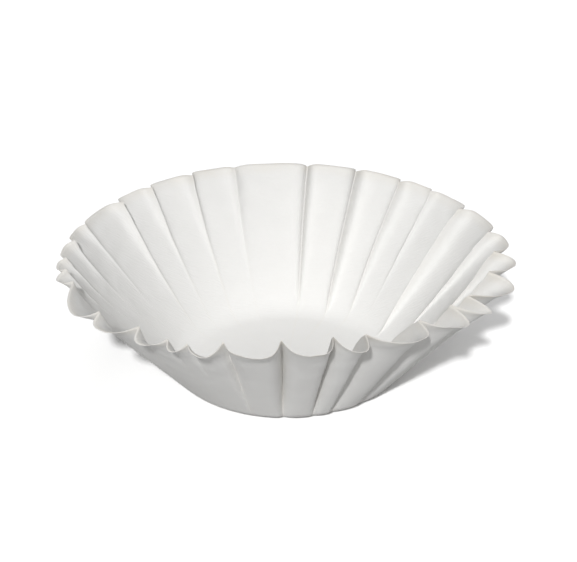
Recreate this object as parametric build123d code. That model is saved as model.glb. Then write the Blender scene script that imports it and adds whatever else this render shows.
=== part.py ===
"""A basket coffee filter: one round sheet of paper, pressed into a fluted cup.

Frame: origin at the centre of the floor's underside, +Z up, -Y the front. Millimetres.

The sheet starts as a flat disc. Its middle stays flat and is the floor. Outside the floor
the sheet turns up through a soft bend and leans outwards as the wall. The wall is a
narrower cone than the flat disc would fill, so the spare paper gathers in flutes: broad
lobes that stand outwards, parted by narrow creases. Some creases run down to the floor and
others fade on the way. How deep they are is worked out level by level, so that every ring
round the wall keeps the length that it had in the flat sheet.
"""

import os
from math import comb, cos, pi, radians, sin, tan

import numpy as np
from build123d import *

# ---------------------------------------------------------------- driving dimensions
blank_diameter = 207.0        # the flat sheet, cut out but not yet pressed
floor_diameter = 83.0         # across the floor, to where the wall's slope would meet it
paper_thickness = 0.15        # creped filter paper
wall_lean = 49.8              # mean slope of the wall above the table, in degrees
wall_squeeze = 3.1            # how much steeper the front and back are, and gentler the sides
squeeze_turn = 7.5            # where the gentlest slope is, in degrees round from +X
floor_bend_radius = 12.0      # bend between the floor and the wall, at mid thickness
crease_rise = 0.2             # climb of a crease for each millimetre it stands inwards
crease_pinch = 0.62           # 0 is an even wave, near 1 is broad lobes and knife creases

# The creases are uneven, as pressing a soft sheet leaves them. Each one has its angle round
# the cup, counter-clockwise from +X in degrees, its depth at the rim against the average
# crease, and how fast it fades down the wall: 0 keeps it full, 1 halves it half way down.
creases = [
    (1, 0.7, 1.2), (14, 0.8, 1.0), (29.5, 1.3, 0.4), (44, 0.9, 1.2), (54.5, 1.1, 0.8),
    (67.5, 1.2, 0.2), (83.5, 1.1, 0.5), (106.5, 1.2, 0.6), (120.5, 0.9, 1.0),
    (134, 1.1, 1.0), (146, 1.0, 1.0), (161, 0.8, 1.2), (172, 0.6, 1.2), (181, 0.6, 1.2),
    (188, 0.7, 1.2), (197, 0.9, 1.4), (215, 1.1, 1.4), (230, 0.9, 1.4), (240, 0.8, 1.4),
    (245.5, 0.3, 1.0), (254, 1.0, 0.2), (268.5, 1.3, 0.0), (283, 1.3, 0.2), (292, 1.2, 0.1),
    (308, 1.4, 0.0), (321.5, 1.0, 0.6), (330, 1.0, 0.8), (347, 0.9, 1.0),
]

# ---------------------------------------------------------------- how finely it is drawn
flute_degree = 8              # of each smooth patch, across a flute
bend_degree = 4               # and up the sheet, through the floor's bend
wall_degree = 5               # and up the wall above it
ring_steps = 12               # steps across a flute when a ring's length is added up
depth_trials = 40
nudge = 1e-4                  # small step for taking the sheet's direction

floor_edge = floor_diameter / 2 - floor_bend_radius * tan(radians(wall_lean) / 2)
wall_travel = blank_diameter / 2 - floor_edge
bend_travel = floor_bend_radius * radians(wall_lean + wall_squeeze)
flutes = range(len(creases))


def crest(turn, travel):
    """Radius and height of the lobes' crests, at a distance up the sheet from the floor."""
    slope = radians(wall_lean - wall_squeeze * cos(2 * (turn - radians(squeeze_turn))))
    bent = min(travel / floor_bend_radius, slope)
    straight = max(travel - floor_bend_radius * slope, 0)
    radius = floor_edge + floor_bend_radius * sin(bent) + straight * cos(slope)
    height = floor_bend_radius * (1 - cos(bent)) + straight * sin(slope)
    return radius, height


def fold_point(flute, phase, travel, depth):
    """A point of the sheet's middle, at a phase from 0 to 1 across one flute."""
    (start, deep_before, fade_before) = creases[flute - 1]
    (end, deep_after, fade_after) = creases[flute]
    sway = sin(2 * pi * phase) / (2 * pi)
    turn = radians(start) + radians((end - start) % 360) * (phase - crease_pinch * sway)
    up_wall = travel / wall_travel
    before = deep_before * up_wall**fade_before
    crease = before + (deep_after * up_wall**fade_after - before) * (phase - sway)
    fold = depth * crease * (1 + cos(2 * pi * phase)) / 2
    radius, height = crest(turn, travel)
    reach = radius - fold
    return np.array([reach * cos(turn), reach * sin(turn), height + crease_rise * fold])


def ring_length(travel, depth):
    """Length once round the sheet's middle, at one distance up from the floor."""
    steps = [
        fold_point(flute, step / ring_steps, travel, depth)
        for flute in flutes
        for step in range(ring_steps)
    ]
    return sum(np.linalg.norm(steps[i] - steps[i - 1]) for i in range(len(steps)))


def fitted_depth(travel):
    """The average crease depth that gives a ring the length it has in the flat sheet."""
    flat_length = 2 * pi * (floor_edge + travel)
    shallow, deep = 0.0, travel
    for _ in range(depth_trials):
        middle = (shallow + deep) / 2
        if ring_length(travel, middle) < flat_length:
            shallow = middle
        else:
            deep = middle
    return shallow


def inward(flute, phase, travel, depth, deepening):
    """Unit normal of the sheet, towards the inside of the cup."""
    if travel == 0:
        return np.array([0.0, 0.0, 1.0])
    ahead = fold_point(flute, phase + nudge, travel, depth)
    behind = fold_point(flute, phase - nudge, travel, depth)
    below = fold_point(flute, phase, travel, depth)
    above = fold_point(flute, phase, travel + nudge, depth + deepening)
    normal = np.cross(above - below, ahead - behind)
    return normal / np.linalg.norm(normal)


def nodes(degree):
    """Stations from 0 to 1, closer together at the ends, where a patch is pinned."""
    return [(1 - cos(pi * i / degree)) / 2 for i in range(degree + 1)]


def control_net(points):
    """Control points of the Bezier patch that passes through a grid of points at its nodes."""
    for _ in range(2):
        degree = len(points) - 1
        weights = [
            [comb(degree, k) * t**k * (1 - t) ** (degree - k) for k in range(degree + 1)]
            for t in nodes(degree)
        ]
        points = np.linalg.solve(weights, points.reshape(degree + 1, -1)).reshape(points.shape)
        points = points.swapaxes(0, 1)
    return points


def patch(net):
    """A Bezier face from its control points."""
    return Face.make_bezier_surface([[tuple(point) for point in row] for row in net])


def level(travel):
    """A distance up the sheet, the crease depth there and what a nudge adds to it."""
    depth = fitted_depth(travel)
    return travel, depth, fitted_depth(travel + nudge) - depth


def band_nets(levels, offset):
    """For each flute, the control points of one side of the sheet between two distances."""
    lift = np.array([0.0, 0.0, paper_thickness / 2])
    nets = []
    for flute in flutes:
        grid = [
            [
                fold_point(flute, phase, travel, depth)
                + offset * inward(flute, phase, travel, depth, deepening)
                + lift
                for travel, depth, deepening in levels
            ]
            for phase in nodes(flute_degree)
        ]
        nets.append(control_net(np.array(grid)))
    return nets


def build_filter():
    """The sheet as one solid: its inner and outer sides and the cut edge at the rim."""
    bend = [level(bend_travel * station) for station in nodes(bend_degree)]
    rise = wall_travel - bend_travel
    wall = [level(bend_travel + rise * station) for station in nodes(wall_degree)]
    faces = []
    rims = []
    for offset in (paper_thickness / 2, -paper_thickness / 2):
        bend_nets = band_nets(bend, offset)
        wall_nets = band_nets(wall, offset)
        faces += [patch(net) for net in bend_nets + wall_nets]
        faces.append(Face(Wire([Edge.make_bezier(*map(tuple, net[:, 0])) for net in bend_nets])))
        rims.append([net[:, -1] for net in wall_nets])
    faces += [patch(edges) for edges in zip(*rims)]
    return Solid(Shell(faces))


filter_paper = build_filter()
filter_paper.label = "filter_paper"
os.makedirs("parts", exist_ok=True)
export_step(filter_paper, "parts/filter_paper.step")
print(f"filter_paper: {filter_paper.volume:.0f} cubic mm, {filter_paper.bounding_box().size}")
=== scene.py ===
# %% [markdown]
# # A basket coffee filter
#
# The object is one round sheet of thin white paper. A press has turned its rim up into a
# flared, fluted cup, so the middle is a flat floor and the wall is all folds. Nothing is
# glued and nothing is cut out. This lesson folds a flat disc into that cup with Geometry
# Nodes, then gives it the look of creped filter paper.

# %% Load the fixed frame
from collections import namedtuple
from math import cos, pi, radians, sin, tan

import bpy
from mathutils import Matrix, Vector


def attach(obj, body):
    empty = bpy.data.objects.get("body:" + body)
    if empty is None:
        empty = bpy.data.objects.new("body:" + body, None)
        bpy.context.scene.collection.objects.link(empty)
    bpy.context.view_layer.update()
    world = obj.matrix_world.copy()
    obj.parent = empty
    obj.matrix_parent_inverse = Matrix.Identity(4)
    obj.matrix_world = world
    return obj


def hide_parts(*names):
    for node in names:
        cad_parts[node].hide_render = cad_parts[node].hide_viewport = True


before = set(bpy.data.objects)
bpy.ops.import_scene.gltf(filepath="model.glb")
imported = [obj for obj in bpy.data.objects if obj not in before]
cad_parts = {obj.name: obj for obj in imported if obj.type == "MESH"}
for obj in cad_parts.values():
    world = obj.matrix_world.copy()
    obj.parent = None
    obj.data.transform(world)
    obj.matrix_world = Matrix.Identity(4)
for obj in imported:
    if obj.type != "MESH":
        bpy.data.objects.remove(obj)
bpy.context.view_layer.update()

MM = 0.001

# %% [markdown]
# ## The camera
#
# The cup stands on its floor and is seen from the front, from a little under thirty degrees
# above the table. A long lens from about two thirds of a metre away keeps the far rim from
# looking much smaller than the near one. The camera aims at a point inside the cup rather
# than at the table, so the whole cup sits in the middle of the view and no lens shift is
# needed.

# %% Camera
VIEW_HEIGHT = radians(27.0)     # angle above the table
VIEW_DISTANCE = 660 * MM
VIEW_TARGET = Vector((0.9 * MM, 0, 35.7 * MM))
SENSOR_WIDTH = 36.0             # this and the lens are in millimetres, as Blender has them
LENS = 109.9


def aimed(direction):
    """The turn that points +Z in a direction. Cameras and lamps look along their own -Z."""
    return direction.to_track_quat("Z", "Y").to_matrix().to_4x4()


def add_camera():
    """A long lens that looks along +Y and down at the cup."""
    data = bpy.data.cameras.new("camera")
    data.sensor_width = SENSOR_WIDTH
    data.lens = LENS
    camera = bpy.data.objects.new("camera", data)
    back = Vector((0, -cos(VIEW_HEIGHT), sin(VIEW_HEIGHT)))
    camera.matrix_world = Matrix.Translation(VIEW_TARGET + back * VIEW_DISTANCE) @ aimed(back)
    bpy.context.collection.objects.link(camera)
    bpy.context.scene.camera = camera
    bpy.context.scene.view_settings.view_transform = "Standard"
    return camera


camera = add_camera()
print("camera at, mm:", [round(v / MM) for v in camera.matrix_world.translation])

# %% [markdown]
# ## Light
#
# White paper on a white table is shown by its shadows. The key light stands in front of the
# cup, a little to the left and well above the table. It looks straight at the inside of the
# far wall and only grazes the outside of the near one, so the inside is bright and the
# outside is grey. A sun lamp is used for it, because it lights the whole table evenly where
# an area lamp would fade across it. Its narrow disc keeps the shadow's edge fairly crisp. A
# wide, weak sun high above the cup and an even sky fill the shade.

# %% Lamps and sky
KEY_FROM = Vector((-0.11, -0.79, 0.60))     # the way from the cup to the lamp
KEY_STRENGTH = 2.15
KEY_WIDTH = radians(3.5)
FILL_FROM = Vector((0.30, 0.05, 1.0))
FILL_STRENGTH = 0.66
FILL_WIDTH = radians(75)
SKY_STRENGTH = 0.09


def add_sun(name, direction, strength, width):
    """A sun lamp. The wider its disc in the sky, the softer its shadows."""
    data = bpy.data.lights.new(name, "SUN")
    data.energy = strength
    data.angle = width
    lamp = bpy.data.objects.new(name, data)
    lamp.matrix_world = aimed(direction)
    bpy.context.collection.objects.link(lamp)


def seen_ray(tree):
    """1 for a ray that is seen, straight from the camera or by a mirror or glass, else 0."""
    rays = tree.nodes.new("ShaderNodeLightPath")
    total = rays.outputs["Is Camera Ray"]
    for kind in ("Is Glossy Ray", "Is Transmission Ray"):
        either = tree.nodes.new("ShaderNodeMath")
        either.operation = "MAXIMUM"
        tree.links.new(total, either.inputs[0])
        tree.links.new(rays.outputs[kind], either.inputs[1])
        total = either.outputs[0]
    return total


def add_sky():
    """An even sky for fill, which shows as plain white behind the object."""
    world = bpy.data.worlds.new("sky")
    bpy.context.scene.world = world
    world.use_nodes = True
    nodes, links = world.node_tree.nodes, world.node_tree.links
    nodes["Background"].inputs["Strength"].default_value = SKY_STRENGTH
    plain = nodes.new("ShaderNodeBackground")
    choice = nodes.new("ShaderNodeMixShader")
    nodes["Background"].inputs["Color"].default_value = (1, 1, 1, 1)
    plain.inputs["Color"].default_value = (1, 1, 1, 1)
    links.new(seen_ray(world.node_tree), choice.inputs["Fac"])
    links.new(nodes["Background"].outputs[0], choice.inputs[1])
    links.new(plain.outputs[0], choice.inputs[2])
    links.new(choice.outputs[0], nodes["World Output"].inputs["Surface"])


add_sun("key", KEY_FROM, KEY_STRENGTH, KEY_WIDTH)
add_sun("fill", FILL_FROM, FILL_STRENGTH, FILL_WIDTH)
add_sky()
print("strengths: key", KEY_STRENGTH, " fill", FILL_STRENGTH, " sky", SKY_STRENGTH)

# %% [markdown]
# ## The table
#
# The table is a plain pale sheet. To the eye it is much whiter than it is to the light that
# bounces off it, so the background is white while the paper is not flooded with light from
# below. It still takes the cup's shadow.

# %% Table
TABLE_SIZE = 4.0                # metres each way
TABLE_BOUNCE = 0.62             # how pale the table is to the light that it throws back
TABLE_SEEN = (1.0, 0.62)        # and to the eye: two matt whites added together


def diffuse(nodes, tone):
    """A plain matt surface of one grey."""
    node = nodes.new("ShaderNodeBsdfDiffuse")
    node.inputs["Color"].default_value = (tone, tone, tone, 1)
    return node.outputs[0]


def add_table():
    """A wide flat floor under the cup."""
    half = TABLE_SIZE / 2
    corners = [(-half, -half, 0), (half, -half, 0), (half, half, 0), (-half, half, 0)]
    mesh = bpy.data.meshes.new("table")
    mesh.from_pydata(corners, [], [(0, 1, 2, 3)])
    table = bpy.data.objects.new("table", mesh)
    bpy.context.collection.objects.link(table)
    material = bpy.data.materials.new("table_white")
    material.use_nodes = True
    nodes, links = material.node_tree.nodes, material.node_tree.links
    nodes.remove(nodes["Principled BSDF"])
    seen = nodes.new("ShaderNodeAddShader")
    choice = nodes.new("ShaderNodeMixShader")
    links.new(diffuse(nodes, TABLE_SEEN[0]), seen.inputs[0])
    links.new(diffuse(nodes, TABLE_SEEN[1]), seen.inputs[1])
    links.new(seen_ray(material.node_tree), choice.inputs["Fac"])
    links.new(diffuse(nodes, TABLE_BOUNCE), choice.inputs[1])
    links.new(seen.outputs[0], choice.inputs[2])
    links.new(choice.outputs[0], nodes["Material Output"].inputs["Surface"])
    mesh.materials.append(material)


add_table()
print("table:", TABLE_SIZE, "m each way")

# %% [markdown]
# ## Writing sums as nodes
#
# A node tree that holds a formula soon has dozens of Math nodes. Made one at a time they
# bury the formula, so this small class lets a socket take part in an ordinary Python sum.
# Each `+` or `*` on a Term adds one Math node and hands back its output as a new Term. It
# works in geometry trees and in shader trees alike.

# %% Term: a number inside a node tree
class Term:
    """A number in a node tree, so that a formula can be written as one."""

    def __init__(self, tree, socket):
        self.tree = tree
        self.socket = socket

    def math(self, operation, *others):
        """One Math node that takes this number first, and then the others."""
        node = self.tree.nodes.new("ShaderNodeMath")
        node.operation = operation
        for slot, value in zip(node.inputs, (self, *others)):
            if isinstance(value, Term):
                self.tree.links.new(value.socket, slot)
            else:
                slot.default_value = value
        return Term(self.tree, node.outputs[0])

    def __add__(self, other):
        return self.math("ADD", other)

    def __sub__(self, other):
        return self.math("SUBTRACT", other)

    def __mul__(self, other):
        return self.math("MULTIPLY", other)

    def __truediv__(self, other):
        return self.math("DIVIDE", other)

    def __rsub__(self, number):
        return (self * -1.0) + number

    __radd__ = __add__
    __rmul__ = __mul__


# %% [markdown]
# ## The creases
#
# The press gathers the sheet between ribs, and a soft sheet gathers unevenly. Some lobes
# are four times as wide as others, some creases run down to the floor and others die out
# below the rim. A rule alone would look like a cake case, so each crease is listed one by
# one and the rule shapes the paper between them. Writing the list is the slow part, and it
# is also what makes the cup look like one that was really folded.

# %% Creases and sizes of the cup
# Each crease: angle round the cup in degrees, depth at the rim against the average, how
# narrow it is, how fast it fades down the wall, and then two things about the lobe after
# it: how far it leans to one side, and how far its rim curls outwards in millimetres.
# A known fault: with a lean above about 0.22 the spokes beside the crease run backwards for
# a few steps. On the wall that is an overhang, but near the flat floor, where the crease has
# no depth to keep the layers apart, the sheet passes through itself.
Crease = namedtuple("Crease", "angle depth narrow fade lean curl")
CREASES = [Crease(*values) for values in (
    (1, 1.2, 1.1, 2.4, 0.22, 1.8), (14, 0.8, 2.2, 1.3, 0.08, 0.9),
    (29.5, 1.05, 3.5, 0.3, 0.05, 0.4), (44, 0.5, 3.8, 2.0, 0.00, 0.3),
    (54.5, 0.9, 3.5, 0.8, 0.05, 0.5),
    (67.5, 1.1, 3.3, 0.1, 0.05, 0.4), (83.5, 1.0, 3.4, 0.4, -0.05, 0.6),
    (106.5, 0.55, 3.2, 2.0, 0.00, 0.2), (120.5, 0.85, 3.2, 2.8, 0.00, 0.4),
    (134, 0.75, 3.2, 3.0, 0.00, 0.4), (146, 0.85, 3.4, 2.6, 0.00, 0.2),
    (161, 0.3, 3.5, 4.0, 0.00, 0.3), (172, 0.5, 2.2, 6.0, 0.00, 0.7),
    (181, 0.5, 1.8, 7.0, 0.00, 1.0), (188, 0.6, 1.6, 8.0, 0.00, 1.2),
    (197, 0.6, 1.2, 9.0, 0.10, 2.8), (215, 0.7, 1.2, 9.0, -0.10, 3.2),
    (230, 0.65, 1.2, 9.0, -0.10, 3.2), (240, 0.5, 1.2, 8.0, 0.00, 2.4),
    (245.5, 0.4, 1.2, 5.0, 0.05, 2.9), (254, 0.85, 1.6, 1.2, 0.05, 2.5),
    (268.5, 1.2, 2.0, 0.0, 0.12, 1.6), (283, 1.1, 1.6, 0.1, 0.14, 1.4),
    (292, 1.2, 1.4, 0.0, 0.20, 1.8), (308, 1.4, 1.2, 0.0, 0.22, 2.4),
    (321.5, 1.6, 1.0, 1.6, 0.28, 2.4), (330, 1.6, 1.0, 2.0, 0.28, 2.4),
    (347, 1.5, 1.0, 2.2, 0.26, 2.2),
)]
BLANK_RADIUS = 207 * MM / 2
FLOOR_RADIUS = 83 * MM / 2      # out to where the wall's slope would meet the floor
BEND_RADIUS = 12.0 * MM
WALL_LEAN = radians(49.8)       # the wall's average slope, up from the table
WALL_SQUEEZE = radians(3.1)     # extra slope at the front and back, and less at the sides
SQUEEZE_TURN = radians(7.5)     # how far round the cup that oval is turned
PAPER = 0.15 * MM
CREASE_RISE = 0.2               # how far a crease lifts, as a share of its depth
CREASE_PINCH = 0.72             # how nearly a crease's two sides close up, from 0 to 1

FLOOR_EDGE = FLOOR_RADIUS - BEND_RADIUS * tan(WALL_LEAN / 2)
WALL_TRAVEL = BLANK_RADIUS - FLOOR_EDGE
print("creases:", len(CREASES), " wall, mm up the sheet:", round(WALL_TRAVEL / MM, 1))

# %% [markdown]
# ## The spokes of the blank
#
# A mesh that will be folded needs its edges where the folds go. The blank is a disc of
# rings and spokes, and the spokes crowd together at every crease. Each spoke knows the
# angle it has on the flat sheet, the angle it will take round the cup, and its share of
# the crease. Between two creases those follow one wave: the paper swells into a lobe that
# takes most of the width and narrows to the crease on each side.

# %% Spokes
SPOKES_PER_FLUTE = 22
CROWDING = 0.6                  # 0 spaces the spokes evenly, and 1 bunches them at the creases
Spoke = namedtuple("Spoke", "flat_turn turn crease fade curl")


def spoke(flute, step):
    """One spoke of the blank, a number of steps into a flute."""
    here, ahead = CREASES[flute - 1], CREASES[flute]
    even = step / SPOKES_PER_FLUTE
    phase = even - CROWDING * sin(2 * pi * even) / (2 * pi)
    sway = sin(2 * pi * phase) / (2 * pi)
    lobe = (1 - cos(2 * pi * phase)) / 2
    passed = phase - sway
    start, width = radians(here.angle), radians((ahead.angle - here.angle) % 360)
    narrow = here.narrow + (ahead.narrow - here.narrow) * passed
    return Spoke(
        flat_turn=start + width * phase,
        turn=start + width * (phase - CREASE_PINCH * sway + here.lean * lobe),
        crease=(here.depth + (ahead.depth - here.depth) * passed) * (1 - lobe) ** narrow,
        fade=here.fade + (ahead.fade - here.fade) * passed,
        curl=here.curl * MM * lobe,
    )


SPOKES = [
    spoke(flute, step) for flute in range(len(CREASES)) for step in range(SPOKES_PER_FLUTE)
]
print("spokes:", len(SPOKES))

# %% [markdown]
# ## How deep the creases are
#
# Paper bends but hardly stretches. A ring of the flat sheet keeps its length when it is
# lifted into the narrower wall, so its spare length has to go into the folds. There is no
# tidy formula for that depth, because every crease is different. It is quicker to try: a
# ring that comes out too short needs deeper creases, a ring that comes out too long needs
# shallower ones, and halving the doubt sixteen times settles it.

# %% Depth of the creases, ring by ring
DEPTH_TRIALS = 16


def crest_radius(turn, travel):
    """Radius of the lobes' crests, some way up the sheet from the floor's edge."""
    slope = WALL_LEAN - WALL_SQUEEZE * cos(2 * (turn - SQUEEZE_TURN))
    bent = min(travel / BEND_RADIUS, slope)
    straight = max(travel - BEND_RADIUS * slope, 0)
    return FLOOR_EDGE + BEND_RADIUS * sin(bent) + straight * cos(slope)


def ring_length(travel, depth):
    """Length once round the wall, in and out of every crease."""
    ring = []
    for ray in SPOKES:
        fold = depth * ray.crease * (travel / WALL_TRAVEL) ** ray.fade
        reach = crest_radius(ray.turn, travel) - fold
        ring.append(Vector((reach * cos(ray.turn), reach * sin(ray.turn), CREASE_RISE * fold)))
    return sum((ring[i] - ring[i - 1]).length for i in range(len(ring)))


def fitted_depth(travel):
    """The average crease depth that keeps a ring as long as it was in the flat sheet."""
    if travel <= 0:
        return 0.0
    shallow, deep = 0.0, travel
    for _ in range(DEPTH_TRIALS):
        middle = (shallow + deep) / 2
        if ring_length(travel, middle) < 2 * pi * (FLOOR_EDGE + travel):
            shallow = middle
        else:
            deep = middle
    return shallow


for share in (0.25, 0.5, 0.75, 1.0):
    average = fitted_depth(share * WALL_TRAVEL) / MM
    print("at", share, "of the wall, average depth, mm:", round(average, 2))

# %% [markdown]
# ## The flat blank
#
# Now the disc can be built. Its rings crowd together at the floor's bend, where the paper
# turns. Every point carries what the fold will need: how far out from the floor's edge it
# is, the angle it will take, the depth for its ring, and its share of the crease, the fade
# and the curl. The disc also gets a UV map of the flat sheet. The pulp was laid down flat,
# so its fibres must follow the sheet into the folds and not run straight through them.

# %% Flat blank with its fold attributes
FLOOR_RINGS = 9
BEND_RINGS = 14
WALL_RINGS = 42
CARRIED = ("travel", "turn", "depth", "crease", "fade", "curl")


def ring_travels():
    """Distances of the rings from the floor's edge, below zero on the floor itself."""
    bend = BEND_RADIUS * (WALL_LEAN + WALL_SQUEEZE)
    on_floor = [-FLOOR_EDGE * (1 - i / FLOOR_RINGS) for i in range(1, FLOOR_RINGS)]
    in_bend = [bend * i / BEND_RINGS for i in range(BEND_RINGS)]
    on_wall = [bend + (WALL_TRAVEL - bend) * i / WALL_RINGS for i in range(WALL_RINGS + 1)]
    return on_floor + in_bend + on_wall


def blank_faces(rings):
    """A fan round the middle point, then quads from ring to ring."""
    count = len(SPOKES)
    faces = [(0, 1 + i, 1 + (i + 1) % count) for i in range(count)]
    for ring in range(rings - 1):
        low, high = 1 + ring * count, 1 + (ring + 1) * count
        for i in range(count):
            j = (i + 1) % count
            faces.append((low + i, high + i, high + j, low + j))
    return faces


def add_blank():
    """The flat disc, with its fold attributes and the UV map of the flat sheet."""
    points = [(0, 0, 0)]
    numbers = [(-FLOOR_EDGE, 0, 0, 0, 0, 0)]
    travels = ring_travels()
    for travel in travels:
        radius, depth = FLOOR_EDGE + travel, fitted_depth(travel)
        for ray in SPOKES:
            points.append((radius * cos(ray.flat_turn), radius * sin(ray.flat_turn), 0))
            numbers.append((travel, ray.turn, depth, ray.crease, ray.fade, ray.curl))
    mesh = bpy.data.meshes.new("filter_sheet")
    mesh.from_pydata(points, [], blank_faces(len(travels)))
    for name, values in zip(CARRIED, zip(*numbers)):
        mesh.attributes.new(name, "FLOAT", "POINT").data.foreach_set("value", values)
    flat_map = mesh.uv_layers.new(name="flat_sheet")
    for loop, corner in zip(mesh.loops, flat_map.data):
        x, y, _ = points[loop.vertex_index]
        corner.uv = (0.5 + x / (2 * BLANK_RADIUS), 0.5 + y / (2 * BLANK_RADIUS))
    blank = bpy.data.objects.new("filter_sheet", mesh)
    bpy.context.collection.objects.link(blank)
    return blank


blank = add_blank()
print("blank:", len(blank.data.vertices), "points,", len(blank.data.polygons), "faces")

# %% [markdown]
# ## The fold, as a Geometry Nodes tree
#
# The tree folds the blank into the cup. It finds the smooth cone that the lobes' crests
# lie on and pulls each point inwards from it, by the depth of its ring and its share of the
# crease. The last centimetre below the rim curls outwards, as a cut edge does when the
# press lets go. Smooth noise then wanders the creases, buckles the wall a little and leaves
# the rim ragged, because real folds are never straight. All the sizes are named inputs, so
# the same tree could press a deeper or a more crumpled cup.

# %% Fold tree: sockets and helpers
fold_tree = bpy.data.node_groups.new("press_the_cup", "GeometryNodeTree")
fold_tree.is_modifier = True


def fold_input(name, kind):
    """One named input of the fold tree."""
    return fold_tree.interface.new_socket(name, in_out="INPUT", socket_type=kind)


fold_input("Flat sheet", "NodeSocketGeometry")
for name, value in (
    ("Floor edge", FLOOR_EDGE),
    ("Bend radius", BEND_RADIUS),
    ("Wall lean", WALL_LEAN),
    ("Squeeze", WALL_SQUEEZE),
    ("Squeeze turn", SQUEEZE_TURN),
    ("Wall travel", WALL_TRAVEL),
    ("Crease rise", CREASE_RISE),
    ("Curl reach", 11 * MM),
    ("Wander", 0.05),
    ("Buckle", 3.0 * MM),
    ("Crumple", 1.5 * MM),
    ("Rim crumple", 3.5 * MM),
    ("Lift", PAPER / 2),
):
    fold_input(name, "NodeSocketFloat").default_value = value
fold_input("Paper", "NodeSocketMaterial")
fold_tree.interface.new_socket("Cup", in_out="OUTPUT", socket_type="NodeSocketGeometry")
fold_in = fold_tree.nodes.new("NodeGroupInput")
fold_out = fold_tree.nodes.new("NodeGroupOutput")
print("fold tree takes:", [socket.name for socket in fold_in.outputs if socket.name])


def given(name):
    """A named input of the fold tree."""
    return Term(fold_tree, fold_in.outputs[name])


def carried(name):
    """A number that each point of the blank carries."""
    node = fold_tree.nodes.new("GeometryNodeInputNamedAttribute")
    node.data_type = "FLOAT"
    node.inputs["Name"].default_value = name
    return Term(fold_tree, node.outputs["Attribute"])


def vector(x, y, z):
    """A vector from three numbers."""
    node = fold_tree.nodes.new("ShaderNodeCombineXYZ")
    for slot, value in zip(node.inputs, (x, y, z)):
        fold_tree.links.new(value.socket, slot)
    return node.outputs[0]


def smooth_noise(where, noise):
    """Smooth noise from -0.5 to 0.5, the same on every run."""
    node = fold_tree.nodes.new("ShaderNodeTexNoise")
    node.noise_dimensions = "4D"
    node.inputs["Scale"].default_value = noise.scale
    node.inputs["Detail"].default_value = 1.0
    node.inputs["W"].default_value = noise.seed
    fold_tree.links.new(where, node.inputs["Vector"])
    return Term(fold_tree, node.outputs[0]) - 0.5


# %% Fold tree: where the smooth cup's wall runs
Noise = namedtuple("Noise", "scale seed")
WANDER_NOISE = Noise(2.6, 3.0)      # read on a circle of radius 1, so it joins up round the cup
WANDER_CLIMB = 0.4                  # how far along that circle's axis the rim is read

travel = carried("travel").math("MAXIMUM", 0.0)
on_floor = carried("travel").math("MINIMUM", 0.0)
up = travel / given("Wall travel")                       # 0 on the floor, 1 at the rim

steady = vector(carried("turn").math("COSINE"), carried("turn").math("SINE"), up * WANDER_CLIMB)
turn = carried("turn") + smooth_noise(steady, WANDER_NOISE) * given("Wander") * up
turn_cos, turn_sin = turn.math("COSINE"), turn.math("SINE")

oval = ((turn - given("Squeeze turn")) * 2.0).math("COSINE")
slope = given("Wall lean") - given("Squeeze") * oval
slope_cos, slope_sin = slope.math("COSINE"), slope.math("SINE")

bend = given("Bend radius")
bent = (travel / bend).math("MINIMUM", slope)
straight = (travel - bend * slope).math("MAXIMUM", 0.0)
crest = given("Floor edge") + on_floor + bend * bent.math("SINE") + straight * slope_cos
height = bend * (1.0 - bent.math("COSINE")) + straight * slope_sin
print("smooth wall:", len(fold_tree.nodes), "nodes")

# %% Fold tree: creases, curl and dents
BUCKLE_NOISE = Noise(34.0, 7.0)     # changes per metre, in this and the next two
CRUMPLE_NOISE = Noise(150.0, 11.0)
RAGGED_NOISE = Noise(95.0, 19.0)

fold = carried("depth") * carried("crease") * up.math("POWER", carried("fade"))
below_rim = (given("Wall travel") - travel) / given("Curl reach")
near_rim = (1.0 - below_rim).math("MAXIMUM", 0.0)        # 1 at the rim, 0 below the curl
curl = carried("curl") * near_rim * near_rim

place = vector(crest * turn_cos, crest * turn_sin, height)
buckle = smooth_noise(place, BUCKLE_NOISE) * given("Buckle") * up
crumple = smooth_noise(place, CRUMPLE_NOISE) * given("Crumple") * up
ragged = smooth_noise(place, RAGGED_NOISE) * given("Rim crumple") * near_rim
dent = (buckle + crumple) * up.math("SQRT") + ragged
pulled = crest - fold - dent * slope_sin + curl * slope_sin
raised = height + fold * given("Crease rise") + dent * slope_cos - curl * slope_cos
folded = vector(pulled * turn_cos, pulled * turn_sin, raised + given("Lift"))
print("with the folds:", len(fold_tree.nodes), "nodes")

# %% Fold tree: from the blank to the cup
set_place = fold_tree.nodes.new("GeometryNodeSetPosition")
realize = fold_tree.nodes.new("GeometryNodeRealizeInstances")
set_paper = fold_tree.nodes.new("GeometryNodeSetMaterial")
fold_tree.links.new(fold_in.outputs["Flat sheet"], set_place.inputs["Geometry"])
fold_tree.links.new(folded, set_place.inputs["Position"])
fold_tree.links.new(set_place.outputs["Geometry"], realize.inputs["Geometry"])
fold_tree.links.new(realize.outputs["Geometry"], set_paper.inputs["Geometry"])
fold_tree.links.new(fold_in.outputs["Paper"], set_paper.inputs["Material"])
fold_tree.links.new(set_paper.outputs["Geometry"], fold_out.inputs["Cup"])
print("fold tree:", len(fold_tree.nodes), "nodes")

# %% [markdown]
# ## The paper
#
# Filter paper is unsized white pulp with no gloss. It is creped: scraped off its drying
# drum in tiny ridges, about one to the millimetre, which lie one way across the sheet.
# Between them are short fibres that cross, and clouds where the pulp is denser. Noise that
# is drawn out, more or less, one way gives all of these. The ridges and fibres are one small
# node group and the clouds are another. Each hands out one number, so it can be looked at
# alone and reused in another paper.

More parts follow.
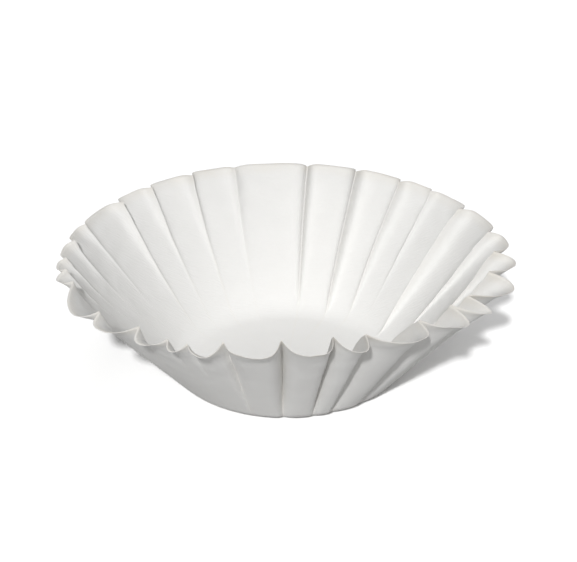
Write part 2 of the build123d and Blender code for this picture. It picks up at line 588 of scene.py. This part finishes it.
# %% Helpers for shader groups
def shader_group(name, inputs, outputs):
    """An empty shader node group with its two ends."""
    tree = bpy.data.node_groups.new(name, "ShaderNodeTree")
    for socket, kind in inputs:
        tree.interface.new_socket(socket, in_out="INPUT", socket_type=kind)
    for socket in outputs:
        tree.interface.new_socket(socket, in_out="OUTPUT", socket_type="NodeSocketFloat")
    return tree, tree.nodes.new("NodeGroupInput"), tree.nodes.new("NodeGroupOutput")


def streaks(tree, where, lay):
    """Noise drawn out one way, with a Mapping node to turn it and set its size."""
    turn_and_size = tree.nodes.new("ShaderNodeMapping")
    turn_and_size.inputs["Rotation"].default_value = (0, 0, lay.turned)
    turn_and_size.inputs["Scale"].default_value = (lay.along, lay.across, 1)
    noise = tree.nodes.new("ShaderNodeTexNoise")
    noise.inputs["Scale"].default_value = 1.0
    noise.inputs["Detail"].default_value = lay.detail
    tree.links.new(where, turn_and_size.inputs["Vector"])
    tree.links.new(turn_and_size.outputs["Vector"], noise.inputs["Vector"])
    return Term(tree, noise.outputs[0])


# %% Crepe and fibres: the height of the paper's surface
# How streaks lie: their turn on the sheet, how many to the millimetre along and across
# them, and how much finer detail they have.
Lay = namedtuple("Lay", "turned along across detail")
RIDGES = Lay(radians(8), 0.25, 1.3, 3.0)
FIBRES = Lay(radians(70), 0.4, 2.6, 2.0)
CROSS_FIBRES = Lay(radians(-35), 0.35, 2.2, 2.0)
RIDGE_SHARE = 0.5
FIBRE_SHARE = 0.25

crepe, crepe_in, crepe_out = shader_group(
    "crepe_and_fibres", [("Sheet mm", "NodeSocketVector")], ["Height"]
)
sheet_mm = crepe_in.outputs["Sheet mm"]
ridges = streaks(crepe, sheet_mm, RIDGES)
fibres = streaks(crepe, sheet_mm, FIBRES)
cross_fibres = streaks(crepe, sheet_mm, CROSS_FIBRES)
relief = ridges * RIDGE_SHARE + fibres * FIBRE_SHARE + cross_fibres * FIBRE_SHARE
crepe.links.new(relief.socket, crepe_out.inputs["Height"])
print("crepe group:", len(crepe.nodes), "nodes")

# %% Clouds: where the pulp is denser
BROAD = Lay(0.0, 0.10, 0.14, 3.0)
FLECKS = Lay(radians(40), 0.9, 1.6, 2.0)
BROAD_SHARE = 0.65
FLECK_SHARE = 0.35

clouds, clouds_in, clouds_out = shader_group(
    "pulp_clouds", [("Sheet mm", "NodeSocketVector")], ["Density"]
)
broad = streaks(clouds, clouds_in.outputs["Sheet mm"], BROAD)
flecks = streaks(clouds, clouds_in.outputs["Sheet mm"], FLECKS)
density = broad * BROAD_SHARE + flecks * FLECK_SHARE
clouds.links.new(density.socket, clouds_out.inputs["Density"])
print("clouds group:", len(clouds.nodes), "nodes")

# %% [markdown]
# ## Painted bounce light: cream in the creases and at the rim
#
# Light that reaches the bottom of a fold has been through the paper or off it several
# times, and each time the pulp takes a little of the blue. So the creases and the cut rim
# look faintly cream. That bounced light is painted into the paper's colour here, as a
# painted cream tint. The mask for it is made from two of the attributes that the fold
# used, which are still on the mesh.

# %% Painted bounce tint: creases and rim
# Painted bounce light: how much painted cream the creases and the cut rim get.
CREASE_PAINTED_BOUNCE = 0.3
CREASE_CLEAR = 0.08             # taken off again, so that only the deep part of a fold is warm
RIM_PAINTED_BOUNCE = 0.7
RIM_BAND = 5 * MM
# The pulp's density makes the painted bounce tint patchy.
PATCH_GAIN = 1.6                # the pulp's density makes the warmth patchy, stretched by this
PATCH_LOSS = 0.3                # and lowered by this

taken = ("Crease", "Travel", "Density")
painted_bounce_tint, painted_bounce_in, painted_bounce_out = shader_group(
    "painted_fold_bounce", [(name, "NodeSocketFloat") for name in taken], ["Warmth"]
)
crease_share, sheet_travel, pulp_density = [
    Term(painted_bounce_tint, painted_bounce_in.outputs[name]) for name in taken
]
# Painted bounce light in the deep part of each crease and along the cut rim.
in_crease = (crease_share * CREASE_PAINTED_BOUNCE - CREASE_CLEAR).math("MAXIMUM", 0.0)
at_rim = (1.0 - (WALL_TRAVEL - sheet_travel) / RIM_BAND).math("MAXIMUM", 0.0)
patchy = (pulp_density * PATCH_GAIN - PATCH_LOSS).math("MAXIMUM", 0.0)
painted_bounce_mask = ((in_crease + at_rim * RIM_PAINTED_BOUNCE) * patchy).math("MINIMUM", 1.0)
painted_bounce_tint.links.new(painted_bounce_mask.socket, painted_bounce_out.inputs["Warmth"])
print("warmth group:", len(painted_bounce_tint.nodes), "nodes")

# %% [markdown]
# ## The paper's surface
#
# One matt surface takes what the three groups hand out. The crepe and fibres only tilt the
# surface, through a Bump node, because they are far too fine to be worth any faces. The
# clouds shift the white a little and make the dense pulp slightly rougher. The painted
# bounce tint then mixes in a faint cream, as painted light in the creases and at the rim.
# The crepe and the clouds are laid out in millimetres on the flat sheet, and the painted
# bounce tint follows the numbers that the mesh carries.

# %% Helpers for the material
paper = bpy.data.materials.new("filter_paper_white")
paper.use_nodes = True
paper_tree = paper.node_tree


def use_group(group, feeds):
    """One use of a shader group in the paper, with its inputs fed by name."""
    node = paper_tree.nodes.new("ShaderNodeGroup")
    node.node_tree = group
    for name, socket in feeds.items():
        paper_tree.links.new(socket, node.inputs[name])
    return node


def mixed(factor, first, second):
    """A colour between two others, each a plain colour or a socket."""
    node = paper_tree.nodes.new("ShaderNodeMix")
    node.data_type = "RGBA"
    paper_tree.links.new(factor, node.inputs[0])
    # The Mix node has sockets for each kind of value. These are the ones for colour.
    for slot, colour in ((node.inputs[6], first), (node.inputs[7], second)):
        if isinstance(colour, tuple):
            slot.default_value = colour
        else:
            paper_tree.links.new(colour, slot)
    return node.outputs[2]


def mesh_number(name):
    """A number that the mesh carries."""
    node = paper_tree.nodes.new("ShaderNodeAttribute")
    node.attribute_name = name
    return node.outputs["Fac"]


def flat_place():
    """The place on the flat sheet, in millimetres from the corner of its map."""
    flat_uv = paper_tree.nodes.new("ShaderNodeUVMap")
    flat_uv.uv_map = "flat_sheet"
    in_mm = paper_tree.nodes.new("ShaderNodeVectorMath")
    in_mm.operation = "SCALE"
    in_mm.inputs["Scale"].default_value = 2 * BLANK_RADIUS / MM
    paper_tree.links.new(flat_uv.outputs["UV"], in_mm.inputs[0])
    return in_mm.outputs["Vector"]


# %% Paper material: the groups feed one matt surface
PAPER_WHITE = (0.895, 0.890, 0.875, 1)
PAPER_DENSE = (0.855, 0.850, 0.832, 1)
# Painted cream that stands in for light bounced in the creases and at the rim.
PAINTED_BOUNCE_CREAM = (0.87, 0.82, 0.73, 1)
CREPE_HEIGHT = 0.16 * MM
ROUGH_LEAST = 0.88
ROUGH_SPREAD = 0.1
PAPER_GLOSS = 0.15

where = flat_place()
crepe_height = use_group(crepe, {"Sheet mm": where}).outputs["Height"]
pulp = use_group(clouds, {"Sheet mm": where}).outputs["Density"]
# The painted bounce tint: how much painted cream each point gets.
painted_bounce_share = use_group(painted_bounce_tint, {
    "Crease": mesh_number("crease"),
    "Travel": mesh_number("travel"),
    "Density": pulp,
}).outputs["Warmth"]

surface = paper_tree.nodes["Principled BSDF"]
bump = paper_tree.nodes.new("ShaderNodeBump")
bump.inputs["Strength"].default_value = 1.0
bump.inputs["Distance"].default_value = CREPE_HEIGHT
paper_tree.links.new(crepe_height, bump.inputs["Height"])
paper_tree.links.new(bump.outputs["Normal"], surface.inputs["Normal"])
clouded = mixed(pulp, PAPER_WHITE, PAPER_DENSE)
# The painted bounce tint mixes painted cream into the clouded white.
paper_tree.links.new(mixed(painted_bounce_share, clouded, PAINTED_BOUNCE_CREAM), surface.inputs["Base Color"])
roughness = Term(paper_tree, pulp) * ROUGH_SPREAD + ROUGH_LEAST
paper_tree.links.new(roughness.socket, surface.inputs["Roughness"])
surface.inputs["Specular IOR Level"].default_value = PAPER_GLOSS
print("paper:", len(paper_tree.nodes), "nodes")

# %% [markdown]
# ## Pressing the cup
#
# The tree is put on the blank as a modifier and its result is kept as a plain mesh. From
# here on the fold is ordinary geometry. Measuring round the rim is a good test. The creases
# alone keep the length of the disc's edge. The outward curl comes on top and adds about 8
# percent at the very rim, fading to under one percent a centimetre below it, and the noise
# adds almost nothing. Real paper would not stretch so, and a smaller curl would be truer.

# %% Press the cup
press = blank.modifiers.new("press", "NODES")
press.node_group = fold_tree
for item in fold_tree.interface.items_tree:
    if item.in_out == "INPUT" and item.name == "Paper":
        press[item.identifier] = paper
evaluated = blank.evaluated_get(bpy.context.evaluated_depsgraph_get())
cup_mesh = bpy.data.meshes.new_from_object(evaluated)
blank.modifiers.remove(press)
flat_mesh = blank.data
blank.data = cup_mesh
bpy.data.meshes.remove(flat_mesh)
cup = blank
for polygon in cup.data.polygons:
    polygon.use_smooth = True


def rim_length(mesh):
    """Length once round the rim, along every fold. The rim's points come last."""
    rim = [v.co for v in mesh.vertices[-len(SPOKES):]]
    return sum((rim[i] - rim[i - 1]).length for i in range(len(rim)))


print("rim, mm:", round(rim_length(cup.data) / MM), "flat:", round(2 * pi * BLANK_RADIUS / MM))

# %% [markdown]
# ## The paper's thickness
#
# The fold is a surface with no thickness, drawn at the middle of the paper. A Solidify
# modifier gives it both faces and the cut edge at the rim, half to each side. The tree has
# lifted the sheet by half its thickness, so it rests on the table and not in it. Last, the
# CAD's own sheet is hidden, and the cup is hung on the frame's root body.

# %% Give the sheet its thickness
shell = cup.modifiers.new("paper_thickness", "SOLIDIFY")
shell.thickness = PAPER
shell.offset = 0.0
shell.use_even_offset = False
shell.use_rim = True

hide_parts("filter_paper")
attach(cup, "root")
print("paper thickness, mm:", round(PAPER / MM, 2))
